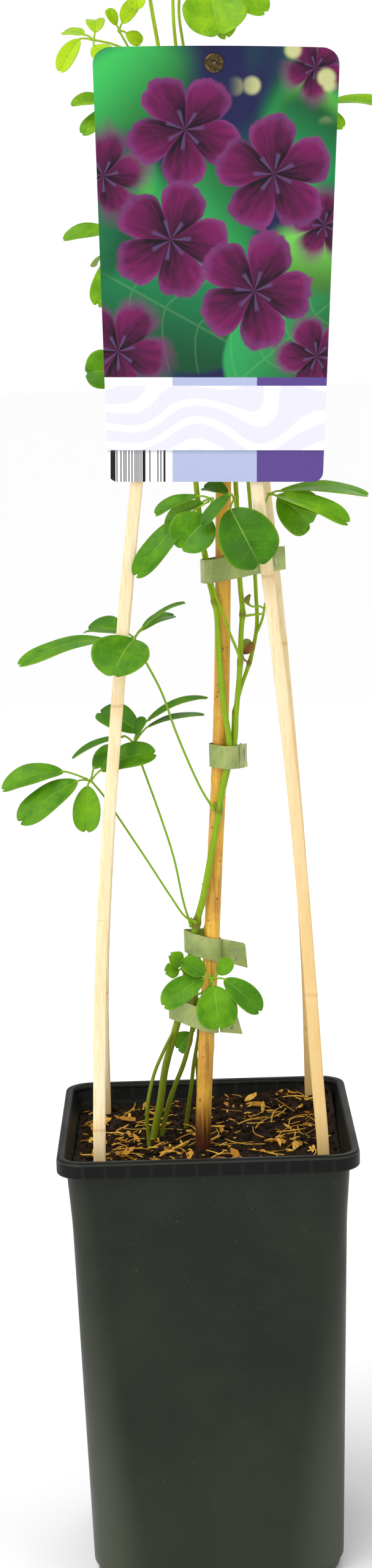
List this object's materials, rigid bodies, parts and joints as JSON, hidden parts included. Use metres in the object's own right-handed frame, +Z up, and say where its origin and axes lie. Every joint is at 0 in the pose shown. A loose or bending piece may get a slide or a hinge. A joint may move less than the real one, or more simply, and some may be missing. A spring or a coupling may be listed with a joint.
{
  "type": "potted climbing plant",
  "caption": "Young twining five-leaf akebia in a tall square nursery pot, tied to a bamboo cane inside pale slats that meet at a riveted card label.",
  "frame": {"origin": "centre of the flat underside of the pot", "axes": "+Z up along the cane, -Y towards the front of the label, +X to the right seen from the front"},
  "size_m": [0.1725, 0.13, 0.7365],
  "materials": {
    "pot_plastic": "satin, finely scuffed",
    "compost": "rough damp compost with wood chips",
    "cane_bamboo": "weathered bamboo, darker at the foot",
    "slat_bamboo": "pale split bamboo with fine grain",
    "rivet_metal": "dark bronzed",
    "label_card": "printed, smooth",
    "tie_tape": "soft sage green tape",
    "staple_wire": "thin bright wire",
    "vine_stem": "green to brownish young bark",
    "leaf_green": "smooth matt leaf, pale midrib",
    "leaf_young": "thin young leaf, yellow-green",
    "dry_leaf": "dry, crumpled"
  },
  "bodies": {
    "root": {"pot": "pot_plastic", "soil": "compost", "cane": "cane_bamboo", "slat_front_left": "slat_bamboo", "slat_front_right": "slat_bamboo", "slat_rear_right": "slat_bamboo", "slat_rear_left": "slat_bamboo", "rivet": "rivet_metal", "label": "label_card", "tie_1": "tie_tape", "staple_1": "staple_wire", "tie_2": "tie_tape", "staple_2": "staple_wire", "tie_3": "tie_tape", "staple_3": "staple_wire", "tie_4": "tie_tape", "staple_4": "staple_wire", "tie_5": "tie_tape", "staple_5": "staple_wire", "main_stem": "vine_stem", "second_stem": "vine_stem", "third_stem": "vine_stem", "leaf_left_high": "leaf_green", "leaf_left_middle": "leaf_green", "leaf_left_far": "leaf_green", "leaf_low_front": "leaf_green", "leaf_small_round": "leaf_green", "leaf_upper_left": "leaf_green", "leaf_upper_centre": "leaf_green", "leaf_back_low": "leaf_green", "leaf_back_high": "leaf_green", "leaf_label_left_low": "leaf_green", "leaf_low_side": "leaf_young", "leaf_upper_right": "leaf_young", "leaf_label_left_middle": "leaf_young", "leaf_label_left_top": "leaf_young", "leaf_label_right": "leaf_young", "leaf_top_left": "leaf_young", "leaf_top_tip": "leaf_young", "leaf_top_middle": "leaf_young", "leaf_top_broad": "leaf_young", "leaf_crown_left": "leaf_young", "leaf_crown_right": "leaf_young", "dry_bract": "dry_leaf"}
  },
  "joints": []
}
